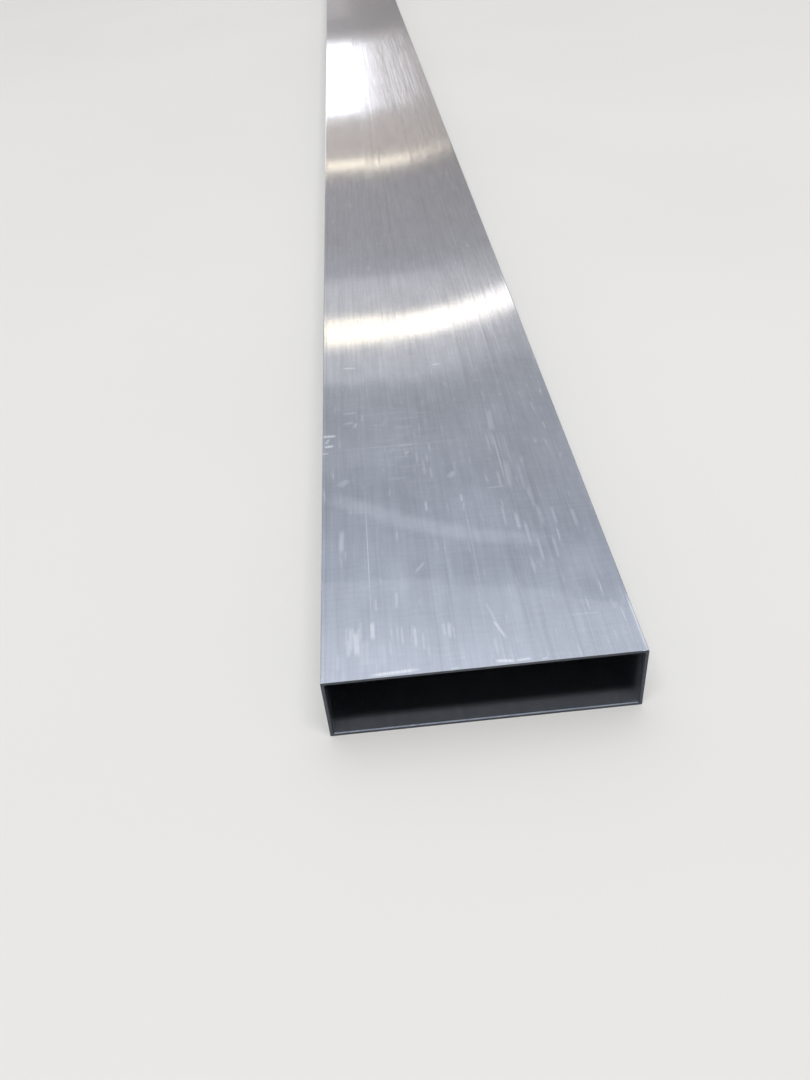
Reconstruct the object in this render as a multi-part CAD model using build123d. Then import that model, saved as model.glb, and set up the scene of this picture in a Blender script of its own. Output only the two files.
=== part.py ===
from build123d import *

import os

# Rectangular aluminium tube, extruded in one piece and sawn square at both ends.
# It lies on one of its wide faces. +X is across the width, +Y along the bar and +Z up,
# and the origin is the middle of the face that it lies on. All sizes are in millimetres.

# Outside of the section
WIDTH = 101.6
HEIGHT = 25.4

# The wall, which is the same on all four sides
WALL = 1.2

# The die leaves its edges nearly sharp, outside and in the bore
OUTER_EDGE_RADIUS = 0.5
INNER_EDGE_RADIUS = 0.4

# From saw cut to saw cut
LENGTH = 3000.0


def tube_section():
    """The ring of metal that the saw cut shows, round the origin: a rounded rectangle less its bore."""
    bore_width = WIDTH - 2 * WALL
    bore_height = HEIGHT - 2 * WALL
    outline = RectangleRounded(WIDTH, HEIGHT, OUTER_EDGE_RADIUS)
    bore = RectangleRounded(bore_width, bore_height, INNER_EDGE_RADIUS)
    return outline - bore


def rectangular_tube():
    """The section drawn along +Y, half its length to each side of the origin, with its lower face at height 0."""
    middle_of_section = Plane(origin=(0, 0, HEIGHT / 2), x_dir=(1, 0, 0), z_dir=(0, -1, 0))
    return extrude(middle_of_section * tube_section(), amount=LENGTH / 2, both=True)


PIECES = {"rectangular_tube": rectangular_tube}


def write_pieces():
    """Writes each piece to its own STEP file, under the piece's name."""
    os.makedirs("parts", exist_ok=True)
    for name, make in PIECES.items():
        export_step(make(), f"parts/{name}.step")


write_pieces()
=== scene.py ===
import math

import bpy
from mathutils import Matrix, Quaternion, Vector


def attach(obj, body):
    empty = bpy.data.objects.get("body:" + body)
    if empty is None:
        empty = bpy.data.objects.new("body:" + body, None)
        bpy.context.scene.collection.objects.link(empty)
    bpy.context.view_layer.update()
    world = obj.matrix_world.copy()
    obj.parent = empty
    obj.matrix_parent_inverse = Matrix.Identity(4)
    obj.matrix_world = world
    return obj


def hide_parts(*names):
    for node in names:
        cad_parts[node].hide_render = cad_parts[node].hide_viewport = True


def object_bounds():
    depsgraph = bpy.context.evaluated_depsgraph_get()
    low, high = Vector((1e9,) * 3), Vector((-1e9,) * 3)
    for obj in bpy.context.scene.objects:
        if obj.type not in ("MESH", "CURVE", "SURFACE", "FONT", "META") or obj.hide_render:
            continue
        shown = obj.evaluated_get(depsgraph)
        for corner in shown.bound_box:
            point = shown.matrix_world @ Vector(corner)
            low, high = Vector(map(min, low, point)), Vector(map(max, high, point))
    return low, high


bl_info = {
    "name": "Rectangular aluminium tube",
    "version": (1, 0, 0),
    "blender": (4, 5, 0),
    "location": "3D View > Sidebar > Tube",
    "description": "Gives the rectangular tube its mill finish and saw cuts, and lights it on a pale floor",
    "category": "Object",
}

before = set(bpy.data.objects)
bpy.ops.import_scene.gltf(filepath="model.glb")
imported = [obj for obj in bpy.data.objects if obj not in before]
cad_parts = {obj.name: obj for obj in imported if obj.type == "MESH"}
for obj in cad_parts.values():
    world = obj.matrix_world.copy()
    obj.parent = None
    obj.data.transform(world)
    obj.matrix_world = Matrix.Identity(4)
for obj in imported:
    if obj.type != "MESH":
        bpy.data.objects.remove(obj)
CAD_LOW, CAD_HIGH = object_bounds()

NODE = "rectangular_tube"
BODY = "root"

MM = 0.001
NEAR_END_Y = CAD_LOW.y
TOP_Z = CAD_HIGH.z
WIDTH = CAD_HIGH.x - CAD_LOW.x
LENGTH = CAD_HIGH.y - CAD_LOW.y

# Names of the tube's two UV maps, one in metres for its patterns and one that fills a square for baking, and
# of the mark on each face of bare metal
FINISH_MAP = "Finish"
BAKE_MAP = "OFBake"
BARE_MARK = "bare_metal"

# Where the outer skin, the bore, the two cuts and the flecks of swarf lie across the square for baking
BAKE_OUTER = (0.005, 0.70)
BAKE_BORE = (0.72, 0.89)
BAKE_FLECK = (0.90, 0.5, 0.0)
BAKE_FLECK_SIZE = (0.01, 0.01, 0.0)
BAKE_NEAR_CUT = (0.92, 0.95)
BAKE_FAR_CUT = (0.965, 0.995)

# The saw's ragged lip stands out in stretches of about 4 mm, between these levels of a noise with so many
# cells on a metre
LIP_NOISE_SCALE = 260.0
LIP_NOISE = (0.55, 0.72)

# How long a fleck of swarf is along its three axes at least and at most, as shares of the fleck size
FLECK_SHARES = ((0.25, 0.15, 0.2), (1.0, 0.5, 0.5))

# Which faces are on a rounded edge, on a skin and on a cut, by their normal: the least product of its
# sideways and upward parts, the most that it points along the bar and the least
MIN_ROUNDED_LEAN = 0.02
MAX_SKIN_FACING = 0.3
MIN_CUT_FACING = 0.9

# How close the points are, in metres, that are merged where the bent grid meets itself
SEAM_GAP = 1e-6

# The skin's patterns: how wide and how long each mark is, and how much finer detail it has. The hairlines are
# as fine as real ones, and the lines that show are drawn two or three times as coarse.
SKIN_PATTERNS = {
    "hairlines": (0.25 * MM, 150 * MM, 2.0),
    "lines": (0.8 * MM, 26 * MM, 4.0),
    "long_lines": (1.7 * MM, 1500 * MM, 1.0),
    "streaks": (3.6 * MM, 32 * MM, 4.0),
    "clouds": (32 * MM, 40 * MM, 5.0),
    "chatter": (9 * MM, 1.5 * MM, 3.0),
    "rubs": (1.7 * MM, 13 * MM, 3.0),
}

# How deep the die's hairlines and lines are, in metres
HAIRLINE_DEPTH = 5e-5
LINE_DEPTH = 1.2e-5

# How far the patterns take the metal's tone and its roughness up and down, over this range of their noise
NOISE_RANGE = (0.25, 0.75)
TONE_CHANGES = {
    "lines": 0.038,
    "long_lines": 0.03,
    "streaks": 0.05,
    "clouds": 0.09,
    "chatter": 0.03,
}
ROUGHNESS_CHANGES = {"lines": 0.012, "streaks": 0.004, "clouds": 0.004}

# The patterns that are strongest near the ends, where the bar is handled: how far from the cut each starts to
# fade, how far from it the fading stops, and the share that is left of it
FADES = {
    "clouds": (150 * MM, 450 * MM, 0.25),
    "lines": (300 * MM, 900 * MM, 0.4),
    "streaks": (300 * MM, 900 * MM, 0.5),
}

# How far into the bore its dull mouth reaches, and where that has faded. The mouth's extra haze is painted
# light, for the light that falls into the mouth, and the lower haze deeper in is painted shade.
MOUTH_REACH = (4 * MM, 8 * MM)

# Short rubs: how far from the ends they thin out, by how much of their noise, between which levels of it they
# show, and how dull they are
RUB_REACH = 60 * MM
RUB_FADE = 0.12
RUB_NOISE = (0.50, 0.74)
RUB_STRENGTH = 0.34

# Small knocks: their spacing, the draws between 0 and 1 that make one, how far the largest reaches as a share
# of the spacing, and how dull its middle is
KNOCK_SPACING = 9 * MM
KNOCK_DRAWS = (0.85, 1.0)
KNOCK_REACH = 0.06
KNOCK_STRENGTH = 0.4

# The share that the die lines leave of the rubs and knocks and of the placed marks, over this range of their
# noise
BREAK_NOISE = (0.35, 0.6)
SPOT_BREAKS = (0.4, 1.0)
MARK_BREAKS = (0.85, 1.0)

# What the dullest mark adds to the roughness and to the metallic share
DULL_ROUGHNESS = 0.22
DULL_METALLIC = -0.75

# Lanes across the wide faces: where each ends, in millimetres from the middle line, how much rougher it is
# than the smoothest, how strong its hairlines are and its tone. The blend is on either side of that end.
LANE_BLEND = 0.35
LANES = [
    (-49.3, 0.015, 0.4, 1.06),
    (-48.9, 0.02, 0.5, 0.93),
    (-20.0, 0.0, 0.15, 1.0),
    (-12.4, 0.012, 1.0, 0.985),
    (-9.6, 0.0, 0.5, 1.01),
    (-8.2, 0.012, 1.3, 0.97),
    (15.6, 0.0, 0.8, 1.0),
    (16.4, 0.015, 1.6, 0.97),
    (24.0, 0.012, 1.3, 0.985),
    (30.2, 0.01, 1.2, 1.0),
    (30.8, 0.02, 1.7, 0.94),
    (41.0, 0.012, 1.4, 1.0),
    (49.4, 0.015, 1.3, 0.99),
    (50.8, 0.015, 0.6, 1.05),
]

# The saw: where its hub was, how deep its teeth marked the cut, how coarse the torn grain is, how far the
# grain takes the roughness up and down, and the tones of the cut over this range of its noise
BLADE_HUB = (40 * MM, 0.0, -150 * MM)
TOOTH_DEPTH = 2e-5
GRAIN_SIZE = 0.35 * MM
GRAIN_NOISE = (0.3, 0.7)
GRAIN_ROUGHNESS = 0.08
SAWN_METALLIC = 0.93
SAWN_NOISE = (0.7, 1.3)
SAWN_TONES = (0.75, 1.25)

# The floor's paint: the mottle's cells on a metre and its tones over this range of its noise, and its gloss
MOTTLE_SCALE = 3.0
MOTTLE_NOISE = (0.3, 0.7)
MOTTLE_TONES = (0.985, 1.015)
FLOOR_ROUGHNESS = 0.8
FLOOR_SPECULAR = 0.2

# The camera's place, its turn to the right, down and about its own axis in degrees, and the long side of its
# film in millimetres
CAMERA_PLACE = (-0.0216, -1.6842, 0.2275)
CAMERA_TURN = (0.33, 39.0, -5.62)
FILM_SIDE = 36.0

# The lamps: centre, turn about their own axis in degrees, width, height, radiance and colour. An area lamp
# needs this much power for each square metre and each unit of radiance.
POWER_FOR_RADIANCE = 4
SOFTBOXES = [
    ("overhead_softbox", (0.0, -0.85, 6.0), 0, 5.5, 7.0, 0.42, "#F2F8FF"),
    ("front_softbox", (0.0, -3.15, 6.0), 0, 5.5, 0.82, 11.5, "#F4F7FF"),
    ("main_strip", (-0.12, 2.355, 1.745), 0, 0.64, 0.12, 1.3, "#FFEDC8"),
    ("main_strip_right", (0.40, 2.355, 1.701), 12.7, 0.42, 0.105, 1.3, "#FFF3E6"),
    ("main_strip_far_right", (0.80, 2.355, 1.558), 25, 0.45, 0.105, 1.5, "#FFF6F0"),
    ("main_strip_glow", (0.05, 2.355, 1.748), 0, 1.2, 0.50, 0.22, "#FFF8F2"),
    ("second_strip", (-0.07, 2.893, 1.117), 0, 0.75, 0.033, 1.65, "#FFF0D4"),
    ("warm_panel", (-0.35, 4.28, 1.34), 0, 2.3, 0.22, 0.20, "#FFEADA"),
    ("window_softbox", (-0.605, 4.28, 1.014), -1, 1.29, 0.38, 1.75, "#FDFCFF"),
    ("window_side", (0.395, 4.28, 1.005), 0, 0.71, 0.44, 0.17, "#FFF4EC"),
    ("low_panel", (-0.80, 4.28, 0.59), 0, 1.60, 0.22, 0.12, "#FFFBFA"),
]

# The light from all round comes from a graded wall beyond the far end and a plain pale studio on the other
# sides. This is the wall's brightness at heights above the horizon, in degrees, with its colour.
WALL_LEVELS = [
    (0.0, 0.50, "#FFFBF9"),
    (3.5, 0.49, "#FFFBF9"),
    (6.5, 0.44, "#FFF7F5"),
    (15.5, 0.45, "#FFF5EE"),
    (17.5, 0.46, "#FFFAFB"),
    (20.0, 0.47, "#FFFAFB"),
    (22.0, 0.53, "#FCFAFD"),
    (25.0, 0.50, "#FAFAFE"),
    (29.0, 0.51, "#F8FAFF"),
    (35.0, 0.58, "#F2F6FF"),
    (39.0, 0.63, "#F0F5FF"),
    (43.0, 0.73, "#EEF4FF"),
    (47.0, 0.95, "#EEF4FF"),
    (60.0, 1.00, "#F0F5FF"),
    (90.0, 0.80, "#F0F5FF"),
]

# The share of its light that the wall has low down at the right, and the brightness of the plain studio low
# down and overhead
DIM_RIGHT = 0.58
PALE_LOW = 0.58
PALE_HIGH = 0.8

# Where one of these goes over into the next, as parts of the direction looked in: along the bar on the level
# for the wall's edge, to the right for its dimmer part, and upwards for the top of that part and for overhead
WALL_EDGE = (0.5, 0.8)
RIGHT_EDGE = (-0.12, 0.16)
LOW_EDGE = (0.14, 0.40)
OVERHEAD_EDGE = (0.85, 0.95)

# Marks on the upper face: how far they are from its middle line and from the near end, how far they turn from
# the bar's direction in degrees, their length and width in millimetres, and how dull they are. One of them is
# a painted highlight.
MARKS_AND_PAINTED_HIGHLIGHT = [
    # Two long scratches
    (-33.9, 55.0, 0, 105.0, 0.6, 0.35),
    (3.6, 52.0, 0, 74.0, 0.7, 0.2),
    # Smears and short rubs by the cut, left of the middle
    (-45.2, 8.0, 0, 12.0, 1.8, 0.3),
    (-42.3, 19.0, 2, 14.0, 2.0, 0.35),
    (-41.8, 14.0, -1, 12.0, 2.4, 0.45),
    (-40.9, 17.5, 3, 16.0, 2.6, 0.5),
    (-39.2, 15.5, -2, 15.0, 3.2, 0.6),
    (-38.3, 19.0, 1, 10.0, 1.8, 0.4),
    (-37.6, 21.5, 0, 12.0, 2.0, 0.3),
    (-36.5, 11.0, 0, 18.0, 5.0, 0.3),
    (-33.8, 20.5, 0, 11.0, 2.4, 0.65),
    (-32.2, 32.5, 0, 9.0, 1.6, 0.35),
    (-31.0, 9.0, 0, 16.0, 6.0, 0.22),
    (-28.4, 12.0, 0, 9.0, 1.3, 0.35),
    (-25.2, 34.0, 3, 12.0, 2.2, 0.35),
    (-24.4, 17.0, 0, 12.0, 1.6, 0.4),
    (-21.0, 19.0, 0, 8.0, 1.4, 0.3),
    (-20.2, 16.0, 0, 13.0, 1.8, 0.5),
    (-17.7, 13.5, 0, 12.0, 1.7, 0.4),
    (-10.7, 18.0, 0, 9.0, 1.8, 0.35),
    (-9.0, 17.5, 3, 10.0, 2.3, 0.5),
    (-6.0, 6.5, 0, 9.0, 2.4, 0.25),
    # Slanting scratches and a short cross line by the cut, right of the middle
    (5.2, 23.5, -12, 14.0, 1.6, 0.35),
    (6.9, 15.5, -18, 12.0, 1.8, 0.6),
    (35.0, 18.6, 90, 14.0, 0.9, 0.35),
    # Rubs 40 to 90 mm from the cut
    (-43.3, 68.0, 2, 16.0, 2.6, 0.3),
    (-16.0, 49.5, 35, 8.0, 1.4, 0.25),
    (-10.8, 84.5, 0, 8.0, 1.4, 0.35),
    (3.0, 87.5, 0, 6.0, 1.6, 0.3),
    (17.3, 74.0, 0, 16.0, 1.6, 0.2),
    (21.7, 70.0, 0, 13.0, 2.0, 0.3),
    (24.2, 62.0, 0, 18.0, 2.0, 0.25),
    (27.0, 53.0, 0, 18.0, 1.6, 0.25),
    (30.5, 72.0, 0, 16.0, 2.2, 0.2),
    (32.4, 53.0, 0, 16.0, 1.6, 0.25),
    (35.5, 71.0, 0, 14.0, 1.5, 0.25),
    (40.0, 44.0, 0, 24.0, 20.0, 0.1),
    (42.5, 69.0, 0, 14.0, 2.2, 0.2),
    # Nicks at the left edge
    (-38.3, 158.3, 92, 8.0, 2.0, 0.2),
    (-39.4, 150.0, 78, 6.0, 2.6, 0.2),
    (-36.4, 147.6, 12, 5.0, 2.2, 0.24),
    (-47.8, 140.8, 93, 7.0, 2.6, 0.6),
    (-48.6, 136.8, 20, 5.0, 2.0, 0.4),
    (-47.9, 132.8, 87, 5.0, 2.4, 0.65),
    (-49.6, 127.5, 90, 4.0, 2.2, 0.35),
    # Two smudges
    (-42.0, 105.0, 40, 7.0, 5.0, 0.2),
    (1.0, 103.6, 32, 6.0, 3.6, 0.22),
    # Short rubs left of the middle
    (-15.8, 128.3, 86, 9.0, 2.0, 0.2),
    (-15.2, 122.5, 20, 4.0, 1.4, 0.22),
    (-11.8, 118.0, 0, 10.0, 1.3, 0.14),
    (-9.5, 111.0, 0, 14.0, 1.5, 0.16),
    (-7.6, 117.0, 0, 7.0, 1.5, 0.16),
    (-7.0, 106.0, 0, 11.0, 1.4, 0.17),
    (2.8, 108.0, 0, 12.0, 1.3, 0.13),
    # Fine cross lines left of the middle
    (-22.0, 155.2, 91, 38.0, 1.3, 0.09),
    (-6.5, 153.0, 88, 13.0, 1.6, 0.07),
    (-13.0, 149.6, 89, 17.0, 1.5, 0.1),
    (-27.0, 146.3, 91, 12.0, 1.8, 0.06),
    (-15.8, 142.6, 92, 10.0, 2.0, 0.11),
    (-4.0, 139.4, 90, 20.0, 1.3, 0.06),
    (-16.5, 136.4, 88, 9.0, 1.6, 0.09),
    (-24.5, 133.2, 91, 15.0, 1.4, 0.08),
    (-20.0, 128.6, 91, 84.0, 1.2, 0.11),
    (-19.5, 125.0, 89, 21.0, 1.5, 0.1),
    (-3.0, 123.4, 92, 14.0, 1.2, 0.07),
    (-17.5, 119.6, 92, 11.0, 2.0, 0.11),
    (-25.0, 114.6, 90, 12.0, 1.5, 0.06),
    (-15.0, 112.3, 89, 14.0, 1.5, 0.09),
    (-20.5, 104.6, 91, 9.0, 2.2, 0.09),
    (-11.5, 101.2, 88, 12.0, 1.6, 0.07),
    # Streaks right of the middle
    (17.2, 92.2, 88, 9.0, 1.0, 0.25),
    (18.4, 124.0, 0, 20.0, 1.3, 0.16),
    (19.0, 97.0, 0, 15.0, 1.6, 0.2),
    (20.4, 127.0, -3, 18.0, 3.0, 0.13),
    (21.2, 114.0, 0, 46.0, 1.1, 0.24),
    (21.6, 141.0, 2, 22.0, 4.0, 0.21),
    (22.8, 100.0, 3, 22.0, 3.6, 0.19),
    (25.4, 117.0, 0, 28.0, 1.5, 0.13),
    (27.8, 98.0, 0, 24.0, 1.8, 0.14),
    (29.2, 84.0, 0, 18.0, 1.6, 0.16),
    # Short cross scratches farther back
    (-38.0, 200.4, 95, 8.0, 1.6, 0.5),
    (3.2, 195.8, 88, 6.5, 2.0, 0.42),
    (1.8, 198.2, 82, 5.0, 1.4, 0.3),
    (20.5, 176.4, 92, 9.0, 1.3, 0.14),
    (36.0, 183.0, 95, 14.0, 1.2, 0.08),
    # The long curved rub, in three stretches
    (-33.0, 86.0, -56, 46.0, 12.0, 0.15),
    (-10.0, 71.5, -63, 48.0, 12.0, 0.15),
    (14.0, 62.0, -76, 42.0, 11.0, 0.13),
    # Bright rubs on the very edge of the cut, and a painted highlight along the right long edge
    (-27.7, 1.5, 88, 20.0, 2.2, 0.8),
    (-9.0, 0.8, 90, 4.0, 1.4, 0.4),
    (6.6, 1.7, 97, 8.0, 2.2, 0.8),
    (12.2, 1.5, 86, 6.5, 1.8, 0.65),
    (18.8, 1.1, 80, 3.0, 1.4, 0.5),
    # A painted highlight: a light stripe along the rounded right edge near the cut, where that edge catches
    # the light
    (50.2, 12.0, 0, 34.0, 1.4, 0.6),
]

# Broad wipes on the upper face, given in the same way, with crisper sides than the marks
WIPES = [
    (-36.0, 16.5, -85, 90.0, 60.0, 0.14),
    (-4.0, 9.6, -76, 90.0, 60.0, 0.14),
    (28.0, -1.8, -66, 90.0, 60.0, 0.14),
    (-38.0, 121.0, -90, 44.0, 12.0, 0.03),
]

# A stroke fades from its even middle to its rim. How far that middle reaches to each side, in a mark and in a
# wipe, and how far along, in both, as shares of the width and the length. The rim is at half of them.
MARK_CORE = 0.1
WIPE_CORE = 0.45
STROKE_CORE = 0.2
STROKE_RIM = 0.5

# How far down from the top of the tube the marks show, in millimetres
TOP_MARGIN = 0.05


def from_hex(code):
    """An sRGB hex colour such as #C5C9D0 as the linear red, green and blue that Blender works in."""
    shares = [int(code[place:place + 2], 16) / 255 for place in (1, 3, 5)]
    return tuple(s / 12.92 if s <= 0.04045 else ((s + 0.055) / 1.055) ** 2.4 for s in shares)


def set_inputs(node, inputs):
    """Sets a node's inputs, a list in its own order or a dict by name. Each one is a value, another node's
    output, or another node, which gives its first output."""
    shown = [socket for socket in node.inputs if socket.enabled]
    named = {socket.name: socket for socket in reversed(shown)}
    pairs = inputs.items() if isinstance(inputs, dict) else enumerate(inputs)
    for key, value in pairs:
        socket = named[key] if isinstance(key, str) else shown[key]
        if isinstance(value, bpy.types.Node):
            value = value.outputs[0]
        if isinstance(value, bpy.types.NodeSocket):
            node.id_data.links.new(value, socket)
        elif value is not None:
            socket.default_value = value


def add_node(tree, kind, inputs=(), **settings):
    """Adds a node with these settings and inputs."""
    node = tree.nodes.new(kind)
    for name, value in settings.items():
        setattr(node, name, value)
    set_inputs(node, inputs)
    return node


def fill_ramp(ramp, stops):
    """Gives a ramp these stops in order, each a place from 0 to 1 and three values."""
    for number, (place, values) in enumerate(stops):
        stop = ramp.elements[number] if number < 2 else ramp.elements.new(place)
        stop.position = place
        stop.color = (*values, 1.0)


def new_group(name, kind, inputs, outputs):
    """A node group with these sockets, as (name, type) pairs, and the outputs of its input node by name."""
    tree = bpy.data.node_groups.new(name, kind)
    for socket_name, socket_type in inputs:
        tree.interface.new_socket(name=socket_name, in_out="INPUT", socket_type=socket_type)
    for socket_name, socket_type in outputs:
        tree.interface.new_socket(name=socket_name, in_out="OUTPUT", socket_type=socket_type)
    return tree, add_node(tree, "NodeGroupInput").outputs


class TubeSizes(bpy.types.PropertyGroup):
    """Sizes of the tube and of what the saw left on its ends."""
    width: bpy.props.FloatProperty(
        name="Width", description="Across the wide faces", default=WIDTH, unit="LENGTH")
    height: bpy.props.FloatProperty(
        name="Height", description="Across the narrow faces", default=CAD_HIGH.z - CAD_LOW.z, unit="LENGTH")
    length: bpy.props.FloatProperty(
        name="Length", description="From saw cut to saw cut", default=LENGTH, unit="LENGTH")
    wall: bpy.props.FloatProperty(
        name="Wall", description="Thickness of the wall", default=1.2 * MM, unit="LENGTH")
    outer_edge_radius: bpy.props.FloatProperty(
        name="Outer edge radius", description="Radius of the long outer edges", default=0.5 * MM,
        unit="LENGTH")
    inner_edge_radius: bpy.props.FloatProperty(
        name="Inner edge radius", description="Radius of the long edges in the bore", default=0.4 * MM,
        unit="LENGTH")
    edge_break: bpy.props.FloatProperty(
        name="Edge break", description="Flat that handling has worn on the edges of the cut",
        default=0.05 * MM, unit="LENGTH")
    bore_edge_break: bpy.props.FloatProperty(
        name="Bore edge break", description="How far into the wall the deburring blade has cut",
        default=0.2 * MM, unit="LENGTH")
    bore_edge_length: bpy.props.FloatProperty(
        name="Bore edge length", description="How far along the bore the deburring blade has cut",
        default=0.36 * MM, unit="LENGTH")
    burr_height: bpy.props.FloatProperty(
        name="Burr height", description="How far the ragged lip stands out of the cut", default=0.06 * MM,
        unit="LENGTH")
    fleck_size: bpy.props.FloatProperty(
        name="Fleck size", description="Radius of the largest flecks of swarf on the cut", default=0.15 * MM,
        unit="LENGTH")
    fleck_density: bpy.props.FloatProperty(
        name="Fleck density", description="Flecks on each square metre of the cut", default=1.5e5)
    wide_cuts: bpy.props.IntProperty(
        name="Cuts across", description="Points between the corners of a wide side", default=84)
    narrow_cuts: bpy.props.IntProperty(
        name="Cuts up", description="Points between the corners of a narrow side", default=20)
    corner_points: bpy.props.IntProperty(
        name="Corner points", description="Points added on each rounded corner", default=5)
    rings: bpy.props.IntProperty(
        name="Rings", description="Rings of points along each skin of the wall, closer at the cuts",
        default=60)
    seed: bpy.props.IntProperty(name="Seed", description="Seed of the burr and the flecks", default=7)


class MillFinish(bpy.types.PropertyGroup):
    """Colours and pattern sizes of the extruded skin."""
    metal_colour: bpy.props.FloatVectorProperty(
        name="Metal", description="Clean aluminium as it left the die", subtype="COLOR",
        default=from_hex("#C6CAD2"))
    # The scuff colour also paints the highlight along the right edge
    scuff_colour: bpy.props.FloatVectorProperty(
        name="Scuff", description="Dull, light metal where it was rubbed", subtype="COLOR",
        default=from_hex("#E6E9EE"))
    roughness: bpy.props.FloatProperty(
        name="Roughness", description="Roughness between along the die lines and across them", default=0.105)
    line_strength: bpy.props.FloatProperty(
        name="Line strength", description="How much more the die lines spread light across than along",
        default=1.0)
    haze: bpy.props.FloatProperty(
        name="Haze", description="Share of the light that the oxide film scatters evenly", default=0.06)
    # The mouth haze is painted light: more even scatter where light falls into the mouth of the bore
    mouth_haze_painted_light: bpy.props.FloatProperty(
        name="Mouth haze", description="The same share at the mouth of the bore, which the chips rubbed dull",
        default=0.12)
    # The bore haze is painted shade: less even scatter than on the skin, where the bore lies in shade
    bore_haze: bpy.props.FloatProperty(
        name="Bore haze", description="The same share deeper in the bore, where nothing reaches",
        default=0.025)


class SawCut(bpy.types.PropertyGroup):
    """Colours and pattern sizes of the sawn ends. Their metal colour is darkened as painted shade."""
    # The metal colour is painted shade: sawn aluminium darkened to stand in for the shade that the cut lies
    # in
    metal_colour: bpy.props.FloatVectorProperty(
        name="Metal", description="Sawn aluminium, dull from the coarse teeth", subtype="COLOR",
        default=from_hex("#54585E"))
    roughness: bpy.props.FloatProperty(name="Roughness", description="Roughness of the cut", default=0.42)
    tooth_mark: bpy.props.FloatProperty(
        name="Tooth mark", description="Spacing of the saw's arcs", default=0.7 * MM, unit="LENGTH")


class StudioLook(bpy.types.PropertyGroup):
    """The floor, the light and the camera."""
    floor_colour: bpy.props.FloatVectorProperty(
        name="Floor", description="Pale matt floor", subtype="COLOR", default=from_hex("#D9D6D0"))
    floor_size: bpy.props.FloatProperty(
        name="Floor size", description="Side of the square floor", default=400.0, unit="LENGTH")
    focal_length: bpy.props.FloatProperty(
        name="Focal length", description="Lens for the film's long side, in millimetres", default=29.46)


def add_outline(tree, given, shrink, radius):
    """One closed outline of the section, shrunk on all sides, with points on its corners and sides."""
    width = add_node(tree, "ShaderNodeMath", [shrink, -2.0, given["Width"]], operation="MULTIPLY_ADD")
    height = add_node(tree, "ShaderNodeMath", [shrink, -2.0, given["Height"]], operation="MULTIPLY_ADD")
    box = add_node(tree, "GeometryNodeCurvePrimitiveQuadrilateral", [width, height])
    rounded = add_node(tree, "GeometryNodeFilletCurve",
                       {"Curve": box, "Count": given["Corner Points"], "Radius": radius,
                        "Limit Radius": True}, mode="POLY")
    # Only the last point of each corner starts a side, and every second side is a narrow one
    index = add_node(tree, "GeometryNodeInputIndex")
    per_corner = add_node(tree, "ShaderNodeMath", [given["Corner Points"], 1.0], operation="ADD")
    place = add_node(tree, "ShaderNodeMath", [index, per_corner], operation="MODULO")
    starts_side = add_node(tree, "ShaderNodeMath", [place, given["Corner Points"], 0.5], operation="COMPARE")
    corner = add_node(tree, "ShaderNodeMath", [index, per_corner], operation="DIVIDE")
    corner_number = add_node(tree, "ShaderNodeMath", [corner], operation="FLOOR")
    is_narrow = add_node(tree, "ShaderNodeMath", [corner_number, 2.0], operation="MODULO")
    side_cuts = add_node(tree, "GeometryNodeSwitch",
                         [is_narrow, given["Wide Cuts"], given["Narrow Cuts"]], input_type="INT")
    cuts = add_node(tree, "ShaderNodeMath", [side_cuts, starts_side], operation="MULTIPLY")
    return add_node(tree, "GeometryNodeSubdivideCurve", [rounded, cuts])


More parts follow.
